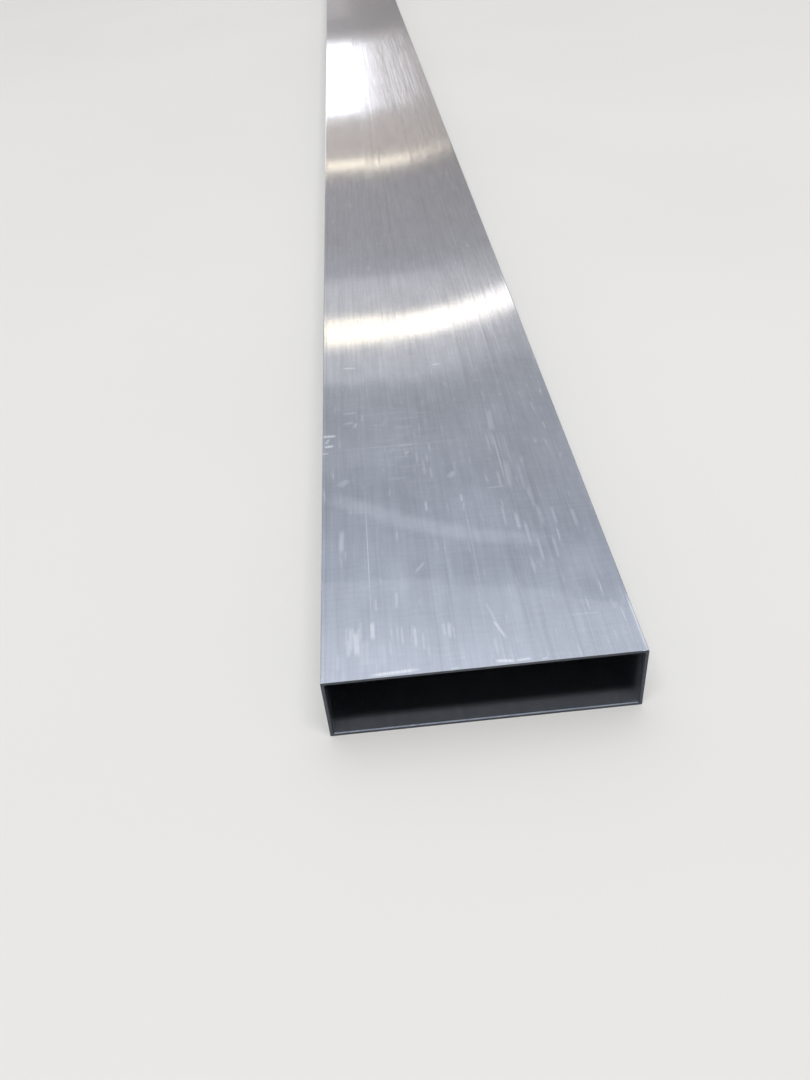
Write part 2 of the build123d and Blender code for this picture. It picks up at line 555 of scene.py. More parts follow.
def tube_tree():
    """Geometry Nodes for the tube. A grid is bent round the wall: its columns run round the section, and its
    rows run out along the outer skin, over the far cut, back along the bore and over the near cut."""
    tree, given = new_group(
        "sawn_tube", "GeometryNodeTree",
        [(name, "NodeSocketFloat") for name in
         ("Width", "Height", "Length", "Wall", "Outer Edge Radius", "Inner Edge Radius", "Edge Break",
          "Bore Edge Break", "Bore Edge Length", "Burr Height", "Fleck Size", "Fleck Density")]
        + [(name, "NodeSocketInt") for name in ("Wide Cuts", "Narrow Cuts", "Corner Points", "Rings", "Seed")]
        + [(name, "NodeSocketMaterial") for name in ("Skin", "Cut")],
        [("Geometry", "NodeSocketGeometry")])

    # The four outlines: the outer skin and its worn edge at the cut, then the bore and its worn edge
    worn_outer = add_node(tree, "ShaderNodeMath", [given["Outer Edge Radius"], given["Edge Break"]],
                          operation="SUBTRACT")
    worn_inner = add_node(tree, "ShaderNodeMath", [given["Inner Edge Radius"], given["Bore Edge Break"]],
                          operation="ADD")
    worn_wall = add_node(tree, "ShaderNodeMath", [given["Wall"], given["Bore Edge Break"]],
                         operation="SUBTRACT")
    outlines = [
        add_outline(tree, given, 0.0, given["Outer Edge Radius"]),
        add_outline(tree, given, given["Edge Break"], worn_outer),
        add_outline(tree, given, given["Wall"], given["Inner Edge Radius"]),
        add_outline(tree, given, worn_wall, worn_inner),
    ]

    # The grid has one column more than the section has points and one row more than the skins have rings
    columns = add_node(tree, "GeometryNodeAttributeDomainSize", [outlines[0]], component="CURVE")
    rows = add_node(tree, "ShaderNodeMath", [given["Rings"], 2.0], operation="MULTIPLY")
    columns_and_seam = add_node(tree, "ShaderNodeMath", [columns, 1.0], operation="ADD")
    rows_and_seam = add_node(tree, "ShaderNodeMath", [rows, 1.0], operation="ADD")
    grid = add_node(tree, "GeometryNodeMeshGrid", [1.0, 1.0, columns_and_seam, rows_and_seam])
    round_share, row_share, _ = add_node(tree, "ShaderNodeSeparateXYZ", [grid.outputs["UV Map"]]).outputs
    exact_column = add_node(tree, "ShaderNodeMath", [round_share, columns], operation="MULTIPLY")
    column = add_node(tree, "ShaderNodeMath", [exact_column], operation="ROUND")
    exact_row = add_node(tree, "ShaderNodeMath", [row_share, rows], operation="MULTIPLY")
    row = add_node(tree, "ShaderNodeMath", [exact_row], operation="ROUND")

    # Which point of the section each vertex is, whether it is in the bore, and how far along it lies
    point = add_node(tree, "ShaderNodeMath", [column, columns], operation="MODULO")
    round_row = add_node(tree, "ShaderNodeMath", [row, rows], operation="MODULO")
    last_outer = add_node(tree, "ShaderNodeMath", [given["Rings"], 0.5], operation="SUBTRACT")
    in_bore = add_node(tree, "ShaderNodeMath", [round_row, last_outer], operation="GREATER_THAN")
    last_row = add_node(tree, "ShaderNodeMath", [rows, 1.0], operation="SUBTRACT")
    way_back = add_node(tree, "ShaderNodeMath", [last_row, round_row], operation="SUBTRACT")
    ring = add_node(tree, "GeometryNodeSwitch", [in_bore, round_row, way_back], input_type="FLOAT")
    ring_below_cut = add_node(tree, "ShaderNodeMath", [ring, 1.0], operation="SUBTRACT")
    last_ring_below_cut = add_node(tree, "ShaderNodeMath", [given["Rings"], 3.0], operation="SUBTRACT")
    turn = add_node(tree, "ShaderNodeMapRange",
                    [ring_below_cut, 0.0, last_ring_below_cut, 0.0, math.pi], clamp=True)
    way_along = add_node(tree, "ShaderNodeMath", [turn], operation="COSINE")
    half_length = add_node(tree, "ShaderNodeMath", [given["Length"], 0.5], operation="MULTIPLY")
    to_cut = add_node(tree, "ShaderNodeMath", [half_length, given["Burr Height"]], operation="SUBTRACT")
    edge_break = add_node(tree, "GeometryNodeSwitch",
                          [in_bore, given["Edge Break"], given["Bore Edge Length"]], input_type="FLOAT")
    back_along = add_node(tree, "ShaderNodeMath", [edge_break, to_cut], operation="SUBTRACT")
    along_skin = add_node(tree, "ShaderNodeMath", [way_along, back_along], operation="MULTIPLY")
    end = add_node(tree, "ShaderNodeMath", [along_skin], operation="SIGN")
    mirrored_ring = add_node(tree, "ShaderNodeMath", [last_ring_below_cut, ring_below_cut],
                             operation="SUBTRACT")
    nearest_cut = add_node(tree, "ShaderNodeMath", [ring_below_cut, mirrored_ring], operation="MINIMUM")
    at_cut = add_node(tree, "ShaderNodeMath", [nearest_cut, -0.5], operation="LESS_THAN")

    # The place of that point on each outline, and on the one that this ring takes
    position = add_node(tree, "GeometryNodeInputPosition")
    places = [add_node(tree, "GeometryNodeSampleIndex",
                       {"Geometry": outline, "Value": position, "Index": point},
                       data_type="FLOAT_VECTOR", domain="POINT") for outline in outlines]
    which = add_node(tree, "ShaderNodeMath", [in_bore, 2.0, at_cut], operation="MULTIPLY_ADD")
    on_section = add_node(tree, "GeometryNodeIndexSwitch", data_type="VECTOR")
    while len(on_section.index_switch_items) < len(places):
        on_section.index_switch_items.new()
    set_inputs(on_section, [which, *places])
    across, up, _ = add_node(tree, "ShaderNodeSeparateXYZ", [on_section]).outputs

    # The saw's ragged lip, pushed out of the cut's outer edge in short stretches
    lip_noise = add_node(tree, "ShaderNodeTexNoise",
                         {"Vector": on_section, "W": given["Seed"], "Scale": LIP_NOISE_SCALE, "Detail": 3.0},
                         noise_dimensions="4D")
    ragged_lip = add_node(tree, "ShaderNodeMapRange", [lip_noise, *LIP_NOISE, 0.0, given["Burr Height"]])
    lip = add_node(tree, "GeometryNodeSwitch", [in_bore, ragged_lip, 0.0], input_type="FLOAT")
    past_skin = add_node(tree, "ShaderNodeMath", [edge_break, lip], operation="ADD")
    past_skin_at_cut = add_node(tree, "ShaderNodeMath", [past_skin, at_cut], operation="MULTIPLY")
    along = add_node(tree, "ShaderNodeMath", [past_skin_at_cut, end, along_skin], operation="MULTIPLY_ADD")
    half_height = add_node(tree, "ShaderNodeMath", [given["Height"], 0.5], operation="MULTIPLY")
    height = add_node(tree, "ShaderNodeMath", [up, half_height], operation="ADD")
    place = add_node(tree, "ShaderNodeCombineXYZ", [across, along, height])
    bent = add_node(tree, "GeometryNodeSetPosition", {"Geometry": grid.outputs["Mesh"], "Position": place})

    # The faces of the two cuts lie between the last ring of one skin and the first of the other
    face_share = add_node(tree, "GeometryNodeFieldOnDomain", [row_share], domain="FACE")
    face_row = add_node(tree, "ShaderNodeMath", [face_share, rows], operation="MULTIPLY")
    round_face_row = add_node(tree, "ShaderNodeMath", [face_row, given["Rings"]], operation="MODULO")
    cut_start = add_node(tree, "ShaderNodeMath", [given["Rings"], 1.0], operation="SUBTRACT")
    is_cut = add_node(tree, "ShaderNodeMath", [round_face_row, cut_start], operation="GREATER_THAN")
    is_bore = add_node(tree, "ShaderNodeMath", [face_row, given["Rings"]], operation="GREATER_THAN")

    # The map for patterns, in metres: the way round the section, and along the bar or across the wall
    way_round = add_node(tree, "GeometryNodeSplineParameter").outputs["Length"]
    round_point = add_node(tree, "GeometryNodeSampleIndex",
                           {"Geometry": outlines[0], "Value": way_round, "Index": point},
                           data_type="FLOAT", domain="POINT")
    girth = add_node(tree, "GeometryNodeSampleIndex",
                     {"Geometry": outlines[0], "Value": add_node(tree, "GeometryNodeSplineLength"),
                      "Index": 0}, data_type="FLOAT", domain="POINT")
    last_column = add_node(tree, "ShaderNodeMath", [columns, 0.5], operation="SUBTRACT")
    at_seam = add_node(tree, "ShaderNodeMath", [column, last_column], operation="GREATER_THAN")
    round_section = add_node(tree, "GeometryNodeSwitch", [at_seam, round_point, girth], input_type="FLOAT")
    from_near_end = add_node(tree, "ShaderNodeMath", [along, half_length], operation="ADD")
    bore_shift = add_node(tree, "ShaderNodeMath", [is_bore, given["Length"]], operation="MULTIPLY")
    along_map = add_node(tree, "ShaderNodeMath", [from_near_end, bore_shift], operation="ADD")
    across_wall = add_node(tree, "ShaderNodeMath", [in_bore, given["Wall"]], operation="MULTIPLY")
    finish_along = add_node(tree, "GeometryNodeSwitch", [is_cut, along_map, across_wall], input_type="FLOAT")
    finish_place = add_node(tree, "ShaderNodeCombineXYZ", [round_section, finish_along])
    with_finish = add_node(tree, "GeometryNodeStoreNamedAttribute",
                           {"Geometry": bent, "Name": FINISH_MAP, "Value": finish_place},
                           data_type="FLOAT2", domain="CORNER")

    # The map for baking: the outer skin takes most of a square, then the bore, then the two cuts side by side
    bake_across = []
    for share, first, second in (
            (round_share, BAKE_OUTER, BAKE_BORE),
            (in_bore, BAKE_FAR_CUT, BAKE_NEAR_CUT)):
        left, right = (add_node(tree, "GeometryNodeSwitch", [is_bore, *edges], input_type="FLOAT")
                       for edges in zip(first, second))
        bake_across.append(add_node(tree, "ShaderNodeMapRange", [share, 0.0, 1.0, left, right]))
    skin_share = add_node(tree, "ShaderNodeMath", [from_near_end, given["Length"]], operation="DIVIDE")
    skin_place = add_node(tree, "ShaderNodeCombineXYZ", [bake_across[0], skin_share])
    cut_place = add_node(tree, "ShaderNodeCombineXYZ", [bake_across[1], round_share])
    bake_place = add_node(tree, "GeometryNodeSwitch", [is_cut, skin_place, cut_place], input_type="VECTOR")
    with_maps = add_node(tree, "GeometryNodeStoreNamedAttribute",
                         {"Geometry": with_finish, "Name": BAKE_MAP, "Value": bake_place},
                         data_type="FLOAT2", domain="CORNER")

    # The saw left the cuts bare and the deburring blade the edges of the bore. Then the seams are closed.
    scraped_start = add_node(tree, "ShaderNodeMath", [given["Rings"], 2.0], operation="SUBTRACT")
    beside_near = add_node(tree, "ShaderNodeMath", [round_face_row, scraped_start], operation="GREATER_THAN")
    beside_far = add_node(tree, "ShaderNodeMath", [round_face_row, 1.0], operation="LESS_THAN")
    beside_cut = add_node(tree, "ShaderNodeMath", [beside_near, beside_far], operation="MAXIMUM")
    is_scraped = add_node(tree, "ShaderNodeMath", [beside_cut, is_bore], operation="MULTIPLY")
    is_bare = add_node(tree, "ShaderNodeMath", [is_cut, is_scraped], operation="MAXIMUM")
    marked = add_node(tree, "GeometryNodeStoreNamedAttribute",
                      {"Geometry": with_maps, "Name": BARE_MARK, "Value": is_bare},
                      data_type="BOOLEAN", domain="FACE")
    merged = add_node(tree, "GeometryNodeMergeByDistance", {"Geometry": marked, "Distance": SEAM_GAP})
    # Bent round the wall, the grid's upper side comes to lie inside it
    closed = add_node(tree, "GeometryNodeFlipFaces", [merged])

    # Only the rounded edges are shaded smooth, so that the flats stay flat
    face_normal = add_node(tree, "GeometryNodeInputNormal")
    sideways, lengthways, upwards = add_node(tree, "ShaderNodeSeparateXYZ", [face_normal]).outputs
    lean = add_node(tree, "ShaderNodeMath", [sideways, upwards], operation="MULTIPLY")
    lean_size = add_node(tree, "ShaderNodeMath", [lean], operation="ABSOLUTE")
    leans_enough = add_node(tree, "ShaderNodeMath", [lean_size, MIN_ROUNDED_LEAN], operation="GREATER_THAN")
    facing = add_node(tree, "ShaderNodeMath", [lengthways], operation="ABSOLUTE")
    is_long = add_node(tree, "ShaderNodeMath", [facing, MAX_SKIN_FACING], operation="LESS_THAN")
    is_rounded = add_node(tree, "ShaderNodeMath", [leans_enough, is_long], operation="MULTIPLY")
    shaded = add_node(tree, "GeometryNodeSetShadeSmooth",
                      {"Geometry": closed, "Shade Smooth": is_rounded}, domain="FACE")

    # Flecks of swarf that cling to the cuts
    on_cut = add_node(tree, "ShaderNodeMath", [facing, MIN_CUT_FACING], operation="GREATER_THAN")
    spots = add_node(tree, "GeometryNodeDistributePointsOnFaces",
                     {"Mesh": closed, "Selection": on_cut, "Density": given["Fleck Density"],
                      "Seed": given["Seed"]}, distribute_method="RANDOM")
    # Each fleck's middle is held its own size inside the tube's box
    half_width = add_node(tree, "ShaderNodeMath", [given["Width"], 0.5], operation="MULTIPLY")
    box_high = add_node(tree, "ShaderNodeCombineXYZ", [half_width, half_length, given["Height"]])
    box_low = add_node(tree, "ShaderNodeVectorMath", [box_high, (-1.0, -1.0, 0.0)], operation="MULTIPLY")
    highest = add_node(tree, "ShaderNodeVectorMath", [box_high, given["Fleck Size"]], operation="SUBTRACT")
    lowest = add_node(tree, "ShaderNodeVectorMath", [box_low, given["Fleck Size"]], operation="ADD")
    raised = add_node(tree, "ShaderNodeVectorMath", [position, lowest], operation="MAXIMUM")
    held = add_node(tree, "ShaderNodeVectorMath", [raised, highest], operation="MINIMUM")
    held_spots = add_node(tree, "GeometryNodeSetPosition",
                          {"Geometry": spots.outputs["Points"], "Position": held})
    fleck = add_node(tree, "GeometryNodeMeshIcoSphere", {"Radius": 1.0, "Subdivisions": 1})
    fleck_spot = add_node(tree, "ShaderNodeVectorMath",
                          [fleck.outputs["UV Map"], BAKE_FLECK_SIZE, BAKE_FLECK], operation="MULTIPLY_ADD")
    mapped_fleck = add_node(tree, "GeometryNodeStoreNamedAttribute",
                            {"Geometry": fleck.outputs["Mesh"], "Name": BAKE_MAP,
                             "Value": fleck_spot}, data_type="FLOAT2", domain="CORNER")
    marked_fleck = add_node(tree, "GeometryNodeStoreNamedAttribute",
                            {"Geometry": mapped_fleck, "Name": BARE_MARK, "Value": True},
                            data_type="BOOLEAN", domain="FACE")
    fleck_size = add_node(tree, "FunctionNodeRandomValue", FLECK_SHARES, data_type="FLOAT_VECTOR")
    fleck_scale = add_node(tree, "ShaderNodeVectorMath", {0: fleck_size, "Scale": given["Fleck Size"]},
                           operation="SCALE")
    fleck_turn = add_node(tree, "FunctionNodeRandomValue", [(0.0,) * 3, (math.tau,) * 3],
                          data_type="FLOAT_VECTOR")
    flecks = add_node(tree, "GeometryNodeInstanceOnPoints",
                      {"Points": held_spots, "Instance": marked_fleck,
                       "Rotation": fleck_turn, "Scale": fleck_scale})
    whole = add_node(tree, "GeometryNodeJoinGeometry")
    tree.links.new(flecks.outputs[0], whole.inputs[0])
    tree.links.new(shaded.outputs[0], whole.inputs[0])
    real = add_node(tree, "GeometryNodeRealizeInstances", {"Geometry": whole})

    # One material for the skins and one for the bare metal
    bare = add_node(tree, "GeometryNodeInputNamedAttribute", {"Name": BARE_MARK}, data_type="BOOLEAN")
    in_skin = add_node(tree, "GeometryNodeSetMaterial", {"Geometry": real, "Material": given["Skin"]})
    in_both = add_node(tree, "GeometryNodeSetMaterial",
                       {"Geometry": in_skin, "Selection": bare, "Material": given["Cut"]})
    add_node(tree, "NodeGroupOutput", [in_both])
    return tree


def scuff_tree():
    """Shader nodes that add one mark to those before it: a stroke with soft edges. Place is a spot on the
    face with a one after it, so its product with Across or Along says how many widths or lengths it is from
    the middle of the stroke."""
    tree, given = new_group(
        "scuff", "ShaderNodeTree",
        [("Before", "NodeSocketFloat"), ("Place", "NodeSocketVector"), ("Across", "NodeSocketVector"),
         ("Along", "NodeSocketVector"), ("Strength", "NodeSocketFloat"), ("Core", "NodeSocketFloat")],
        [("Marks", "NodeSocketFloat")])
    fades = []
    for way, core, full in (("Across", given["Core"], given["Strength"]), ("Along", STROKE_CORE, 1.0)):
        offset = add_node(tree, "ShaderNodeVectorMath", [given["Place"], given[way]], operation="DOT_PRODUCT")
        distance = add_node(tree, "ShaderNodeMath", [offset.outputs["Value"]], operation="ABSOLUTE")
        fades.append(add_node(tree, "ShaderNodeMapRange", [distance, core, STROKE_RIM, full, 0.0],
                              interpolation_type="SMOOTHSTEP"))
    stroke = add_node(tree, "ShaderNodeMath", fades, operation="MULTIPLY")
    both = add_node(tree, "ShaderNodeMath", [stroke, given["Before"]], operation="MAXIMUM")
    add_node(tree, "NodeGroupOutput", [both])
    return tree


def new_material(name):
    """An empty node material, with its tree and its Principled shader."""
    material = bpy.data.materials.new(name)
    material.use_nodes = True
    material.node_tree.nodes.clear()
    shader = add_node(material.node_tree, "ShaderNodeBsdfPrincipled")
    add_node(material.node_tree, "ShaderNodeOutputMaterial", [shader])
    return material, material.node_tree, shader


def placed_marks(tree):
    """The marks of this very bar on its upper face, and a painted highlight along its right edge, in
    millimetres from its middle line and its near end.
    """
    spot = add_node(tree, "ShaderNodeTexCoord").outputs["Object"]
    in_mm = add_node(tree, "ShaderNodeVectorMath", [spot, (1 / MM,) * 3, (0.0, -NEAR_END_Y / MM, 0.0)],
                     operation="MULTIPLY_ADD")
    across, along, height = add_node(tree, "ShaderNodeSeparateXYZ", [in_mm]).outputs
    place = add_node(tree, "ShaderNodeCombineXYZ", [across, along, 1.0])
    on_top = add_node(tree, "ShaderNodeMath", [height, TOP_Z / MM - TOP_MARGIN], operation="GREATER_THAN")
    group = scuff_tree()
    marks = None
    strokes = [(*mark, MARK_CORE) for mark in MARKS_AND_PAINTED_HIGHLIGHT] + [(*wipe, WIPE_CORE) for wipe in WIPES]
    for x, y, turn, length, width, strength, core in strokes:
        cos = math.cos(math.radians(turn))
        sin = math.sin(math.radians(turn))
        marks = add_node(tree, "ShaderNodeGroup", {
            "Before": marks,
            "Place": place,
            "Across": (cos / width, -sin / width, (y * sin - x * cos) / width),
            "Along": (sin / length, cos / length, -(x * sin + y * cos) / length),
            "Strength": strength,
            "Core": core,
        }, node_tree=group)
    return add_node(tree, "ShaderNodeMath", [marks, on_top], operation="MULTIPLY")


def lane_stops():
    """The lanes across the face as stops of a ramp, with a narrow blend between one lane and the next."""
    width = WIDTH / MM
    start = 0.0
    stops = []
    for edge, *values in LANES:
        end = edge / width + 0.5
        blend = min(LANE_BLEND / width, (end - start) / 3)
        stops += [(start + blend, values), (end - blend, values)]
        start = end
    return stops


def mill_finish(look):
    """Extruded aluminium as it left the die. The die draws fine lines along the bar, so the metal spreads its
    reflections wide across the bar and hardly along it. The skin has a thin oxide haze, and handling has
    left dull clouds, short rubs near the ends and a few scratches."""
    material, tree, shader = new_material("mill_finish_extruded_aluminium")
    finish = add_node(tree, "ShaderNodeUVMap", uv_map=FINISH_MAP)
    way_along = add_node(tree, "ShaderNodeSeparateXYZ", [finish]).outputs["Y"]

    # Noises on the skin's own map, each as wide and as long as one of the marks of the die or of handling
    noise = {}
    for name, (across, along, detail) in SKIN_PATTERNS.items():
        place = add_node(tree, "ShaderNodeVectorMath", [finish, (1 / across, 1 / along, 0.0)],
                         operation="MULTIPLY")
        noise[name] = add_node(tree, "ShaderNodeTexNoise", {"Vector": place, "Scale": 1.0, "Detail": detail},
                               noise_dimensions="2D")

    # Handling near the ends made some of the patterns strongest there
    to_end = add_node(tree, "ShaderNodeMath", [way_along, LENGTH / 2], operation="PINGPONG")
    for name, (start, stop, share) in FADES.items():
        left = add_node(tree, "ShaderNodeMapRange", [to_end, start, stop, 1.0, share],
                        interpolation_type="SMOOTHSTEP")
        shift = add_node(tree, "ShaderNodeMath", [noise[name], -0.5], operation="ADD")
        noise[name] = add_node(tree, "ShaderNodeMath", [shift, left, 0.5], operation="MULTIPLY_ADD")

    # Lanes along the bar, each as smooth as its stretch of the die left it
    spot = add_node(tree, "ShaderNodeTexCoord").outputs["Object"]
    across = add_node(tree, "ShaderNodeSeparateXYZ", [spot]).outputs["X"]
    lane_place = add_node(tree, "ShaderNodeMapRange", [across, CAD_LOW.x, CAD_HIGH.x, 0.0, 1.0])
    lanes = add_node(tree, "ShaderNodeValToRGB", [lane_place])
    fill_ramp(lanes.color_ramp, lane_stops())
    lane_roughness, lane_spread, lane_tone = add_node(tree, "ShaderNodeSeparateColor", [lanes]).outputs

    # Short rubs along the bar on the outer skin, close together at the ends and thinning out away from them
    outer_skin = add_node(tree, "ShaderNodeMath", [way_along, LENGTH], operation="LESS_THAN")
    fewer_rubs = add_node(tree, "ShaderNodeMapRange", [to_end, 0.0, RUB_REACH, 0.0, RUB_FADE],
                          interpolation_type="SMOOTHSTEP")
    rub_level = add_node(tree, "ShaderNodeMath", [noise["rubs"], fewer_rubs], operation="SUBTRACT")
    rub_dashes = add_node(tree, "ShaderNodeMapRange", [rub_level, *RUB_NOISE, 0.0, RUB_STRENGTH],
                          interpolation_type="SMOOTHSTEP")
    rubs = add_node(tree, "ShaderNodeMath", [rub_dashes, outer_skin], operation="MULTIPLY")

    # Small knocks, one in each cell of a grid that is stretched along the bar, most of them missing
    knock_place = add_node(tree, "ShaderNodeVectorMath",
                           [finish, (1 / KNOCK_SPACING, 0.5 / KNOCK_SPACING, 0.0)], operation="MULTIPLY")
    cells = add_node(tree, "ShaderNodeTexVoronoi", {"Vector": knock_place, "Scale": 1.0},
                     voronoi_dimensions="2D").outputs
    knock_draw = add_node(tree, "ShaderNodeSeparateColor", [cells["Color"]]).outputs["Green"]
    knock_reach = add_node(tree, "ShaderNodeMapRange", [knock_draw, *KNOCK_DRAWS, 0.0, KNOCK_REACH])
    knock_here = add_node(tree, "ShaderNodeMapRange",
                          [cells["Distance"], 0.0, knock_reach, KNOCK_STRENGTH, 0.0])
    knocks = add_node(tree, "ShaderNodeMath", [knock_here, outer_skin], operation="MULTIPLY")

    # How dull the skin is at each spot, broken up by the die lines under the marks. One placed mark is a
    # painted highlight along the right edge.
    spots = add_node(tree, "ShaderNodeMath", [rubs, knocks], operation="MAXIMUM")
    broken = []
    for marks, shares in ((placed_marks(tree), MARK_BREAKS), (spots, SPOT_BREAKS)):
        breaks = add_node(tree, "ShaderNodeMapRange", [noise["lines"], *BREAK_NOISE, *shares])
        broken.append(add_node(tree, "ShaderNodeMath", [marks, breaks], operation="MULTIPLY"))
    dull = add_node(tree, "ShaderNodeMath", broken, operation="MAXIMUM")

    # Tone of the clean metal
    tone = lane_tone
    for name, change in TONE_CHANGES.items():
        part = add_node(tree, "ShaderNodeMapRange", [noise[name], *NOISE_RANGE, 1.0 - change, 1.0 + change],
                        clamp=False)
        tone = add_node(tree, "ShaderNodeMath", [part, tone], operation="MULTIPLY")
    clean = add_node(tree, "ShaderNodeVectorMath", {0: tuple(look.metal_colour), "Scale": tone},
                     operation="SCALE")
    colour = add_node(tree, "ShaderNodeMix", {"Factor": dull, "A": clean, "B": (*look.scuff_colour, 1.0)},
                      data_type="RGBA")

    # Roughness, which changes from line to line and lane to lane, and is higher in the clouds and marks
    clean_rough = add_node(tree, "ShaderNodeMath", [lane_roughness, look.roughness], operation="ADD")
    rough = add_node(tree, "ShaderNodeMath", [dull, DULL_ROUGHNESS, clean_rough], operation="MULTIPLY_ADD")
    for name, change in ROUGHNESS_CHANGES.items():
        part = add_node(tree, "ShaderNodeMapRange", [noise[name], *NOISE_RANGE, -change, change], clamp=False)
        rough = add_node(tree, "ShaderNodeMath", [part, rough], operation="ADD")

    # Haze: the oxide film and every mark scatter a little light evenly. In the bore this is painted light at
    # the mouth, where more is scattered, and painted shade deeper in, where less is scattered than on the
    # skin.
    bore_haze = add_node(tree, "ShaderNodeMapRange", [to_end, *MOUTH_REACH, look.mouth_haze_painted_light, look.bore_haze],
                         interpolation_type="SMOOTHSTEP")
    haze = add_node(tree, "ShaderNodeMapRange", [outer_skin, 0.0, 1.0, bore_haze, look.haze])
    clear = add_node(tree, "ShaderNodeMath", [1.0, haze], operation="SUBTRACT")
    metallic = add_node(tree, "ShaderNodeMath", [dull, DULL_METALLIC, clear], operation="MULTIPLY_ADD")

    # Relief of the hairlines, deeper in some lanes than in others, and of the coarser lines
    hairline_depth = add_node(tree, "ShaderNodeMath", [lane_spread, HAIRLINE_DEPTH], operation="MULTIPLY")
    hairlines = add_node(tree, "ShaderNodeMath", [noise["hairlines"], hairline_depth], operation="MULTIPLY")
    relief = add_node(tree, "ShaderNodeMath", [noise["lines"], LINE_DEPTH, hairlines],
                      operation="MULTIPLY_ADD")
    set_inputs(shader, {
        "Base Color": colour.outputs["Result"],
        "Metallic": metallic,
        "Roughness": rough,
        "Anisotropic": look.line_strength,
        "Tangent": add_node(tree, "ShaderNodeTangent", direction_type="UV_MAP", uv_map=FINISH_MAP),
        "Normal": add_node(tree, "ShaderNodeBump", {"Strength": 1.0, "Distance": 1.0, "Height": relief}),
    })
    return material


def sawn_face(look):
    """Aluminium cut by a coarse circular saw. The teeth leave shallow arcs, the cut is duller than the skin,
    and the torn grains at its rim catch the light. Its colour is darker than sawn aluminium, as painted
    shade."""
    material, tree, shader = new_material("sawn_aluminium")
    spot = add_node(tree, "ShaderNodeTexCoord").outputs["Object"]
    from_hub = add_node(tree, "ShaderNodeVectorMath", [spot, BLADE_HUB], operation="SUBTRACT")
    across, _, up = add_node(tree, "ShaderNodeSeparateXYZ", [from_hub]).outputs
    in_plane = add_node(tree, "ShaderNodeCombineXYZ", [across, 0.0, up])
    radius = add_node(tree, "ShaderNodeVectorMath", [in_plane], operation="LENGTH").outputs["Value"]
    teeth = add_node(tree, "ShaderNodeMath", [radius, look.tooth_mark], operation="DIVIDE")
    arcs = add_node(tree, "ShaderNodeTexNoise", {"W": teeth, "Scale": 1.0, "Detail": 2.0},
                    noise_dimensions="1D")
    grain = add_node(tree, "ShaderNodeTexNoise", {"Vector": spot, "Scale": 1 / GRAIN_SIZE, "Detail": 2.0})
    both = add_node(tree, "ShaderNodeMath", [arcs, grain], operation="ADD")
    tone = add_node(tree, "ShaderNodeMapRange", [both, *SAWN_NOISE, *SAWN_TONES], clamp=False)
    smoothest = look.roughness - GRAIN_ROUGHNESS
    roughest = look.roughness + GRAIN_ROUGHNESS
    set_inputs(shader, {
        # The base colour is painted shade: the cut's metal colour, darkened for the shade that the cut lies
        # in
        "Base Color": add_node(tree, "ShaderNodeVectorMath", {0: tuple(look.metal_colour), "Scale": tone},
                               operation="SCALE"),
        "Metallic": SAWN_METALLIC,
        "Roughness": add_node(tree, "ShaderNodeMapRange", [grain, *GRAIN_NOISE, smoothest, roughest]),
        "Normal": add_node(tree, "ShaderNodeBump",
                           {"Strength": 1.0, "Distance": TOOTH_DEPTH, "Height": both}),
    })
    return material


def floor_paint(look):
    """Pale matt floor paint, with the faint mottle that a roller leaves."""
    material, tree, shader = new_material("pale_matt_floor")
    spot = add_node(tree, "ShaderNodeTexCoord").outputs["Object"]
    mottle = add_node(tree, "ShaderNodeTexNoise", {"Vector": spot, "Scale": MOTTLE_SCALE, "Detail": 3.0})
    tone = add_node(tree, "ShaderNodeMapRange", [mottle, *MOTTLE_NOISE, *MOTTLE_TONES])
    set_inputs(shader, {
        "Base Color": add_node(tree, "ShaderNodeVectorMath", {0: tuple(look.floor_colour), "Scale": tone},
                               operation="SCALE"),
        "Roughness": FLOOR_ROUGHNESS,
        "Specular IOR Level": FLOOR_SPECULAR,
    })
    return material


def plain_mesh(name, tree, values):
    """What a Geometry Nodes tree gives for these values, as a plain mesh object with no modifier."""
    carrier = bpy.data.objects.new(name, bpy.data.meshes.new(name))
    bpy.context.collection.objects.link(carrier)
    modifier = carrier.modifiers.new("nodes", "NODES")
    modifier.node_group = tree
    for item in tree.interface.items_tree:
        if item.in_out == "INPUT":
            modifier[item.identifier] = values[item.name]
    drawn = carrier.evaluated_get(bpy.context.evaluated_depsgraph_get())
    carrier_mesh = carrier.data
    result = bpy.data.meshes.new_from_object(drawn)
    carrier.modifiers.clear()
    carrier.data = result
    bpy.data.meshes.remove(carrier_mesh)
    result.name = name
    return carrier


class TUBE_OT_make(bpy.types.Operator):
    """Makes the sawn tube with its finish, in the place of its plain solid"""
    bl_idname = "tube.make"
    bl_label = "Make the tube"

    def execute(self, context):
        sizes = context.scene.tube_sizes
        values = {name.replace("_", " ").title(): getattr(sizes, name) for name in sizes.__annotations__}
        values["Skin"] = mill_finish(context.scene.mill_finish)
        values["Cut"] = sawn_face(context.scene.saw_cut)
        tube = plain_mesh("sawn_tube", tube_tree(), values)
        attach(tube, BODY)
        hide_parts(NODE)
        return {"FINISHED"}


def add_softbox(name, centre, turn, width, height, radiance, colour):
    """A rectangular lamp that faces the near end of the tube. It shows in the metal, not to the camera."""
    lamp = bpy.data.lights.new(name, "AREA")
    lamp.shape = "RECTANGLE"
    lamp.size = width
    lamp.size_y = height
    lamp.color = colour
    lamp.energy = POWER_FOR_RADIANCE * radiance * width * height
    softbox = bpy.data.objects.new(name, lamp)
    softbox.location = centre
    aim = Vector((0.0, NEAR_END_Y, TOP_Z)) - softbox.location
    facing = aim.to_track_quat("-Z", "Y") @ Quaternion((0.0, 0.0, 1.0), math.radians(turn))
    softbox.rotation_euler = facing.to_euler()
    softbox.visible_camera = False
    bpy.context.collection.objects.link(softbox)


